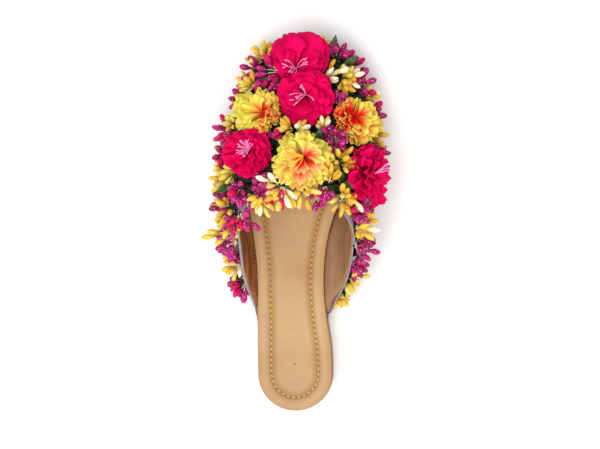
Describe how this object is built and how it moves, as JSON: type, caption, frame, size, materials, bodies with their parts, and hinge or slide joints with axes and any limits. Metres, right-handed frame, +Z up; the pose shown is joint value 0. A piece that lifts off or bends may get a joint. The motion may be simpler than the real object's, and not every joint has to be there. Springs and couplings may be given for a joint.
{
  "type": "jutti",
  "caption": "Left open-back jutti: a flat leather mule whose vamp is covered with magenta and yellow cloth flowers and sprays of stamen buds, with a stitched tan insole.",
  "frame": {"origin": "on the floor, under the middle of the heel's round", "axes": "+Y along the foot to the toe, +X to the inner (medial) side of the left foot, +Z up"},
  "size_m": [0.1225, 0.257, 0.0704],
  "materials": {
    "sole_tan": "matte",
    "insole_tan": "satin",
    "upper_lining": "satin",
    "magenta": "matte",
    "yellow": "matte"
  },
  "bodies": {
    "root": {"flower_magenta_lateral": "magenta", "flower_magenta_medial": "magenta", "flower_magenta_toe": "magenta", "flower_magenta_vamp": "magenta", "flower_yellow_lateral": "yellow", "flower_yellow_medial": "yellow", "flower_yellow_throat": "yellow", "insole": "insole_tan", "outsole": "sole_tan", "spray_magenta_02": "magenta", "spray_magenta_05": "magenta", "spray_magenta_06": "magenta", "spray_magenta_08": "magenta", "spray_magenta_09": "magenta", "spray_magenta_10": "magenta", "spray_magenta_13": "magenta", "spray_magenta_15": "magenta", "spray_magenta_17": "magenta", "spray_magenta_19": "magenta", "spray_magenta_20": "magenta", "spray_magenta_22": "magenta", "spray_magenta_24": "magenta", "spray_magenta_26": "magenta", "spray_magenta_27": "magenta", "spray_magenta_29": "magenta", "spray_magenta_30": "magenta", "spray_magenta_34": "magenta", "spray_magenta_37": "magenta", "spray_magenta_40": "magenta", "spray_magenta_41": "magenta", "spray_magenta_42": "magenta", "spray_magenta_45": "magenta", "spray_magenta_47": "magenta", "spray_magenta_48": "magenta", "spray_magenta_49": "magenta", "spray_yellow_01": "yellow", "spray_yellow_03": "yellow", "spray_yellow_04": "yellow", "spray_yellow_07": "yellow", "spray_yellow_11": "yellow", "spray_yellow_12": "yellow", "spray_yellow_14": "yellow", "spray_yellow_16": "yellow", "spray_yellow_18": "yellow", "spray_yellow_21": "yellow", "spray_yellow_23": "yellow", "spray_yellow_25": "yellow", "spray_yellow_28": "yellow", "spray_yellow_31": "yellow", "spray_yellow_32": "yellow", "spray_yellow_33": "yellow", "spray_yellow_35": "yellow", "spray_yellow_36": "yellow", "spray_yellow_38": "yellow", "spray_yellow_39": "yellow", "spray_yellow_43": "yellow", "spray_yellow_44": "yellow", "spray_yellow_46": "yellow", "spray_yellow_50": "yellow", "upper": "upper_lining"}
  },
  "joints": []
}
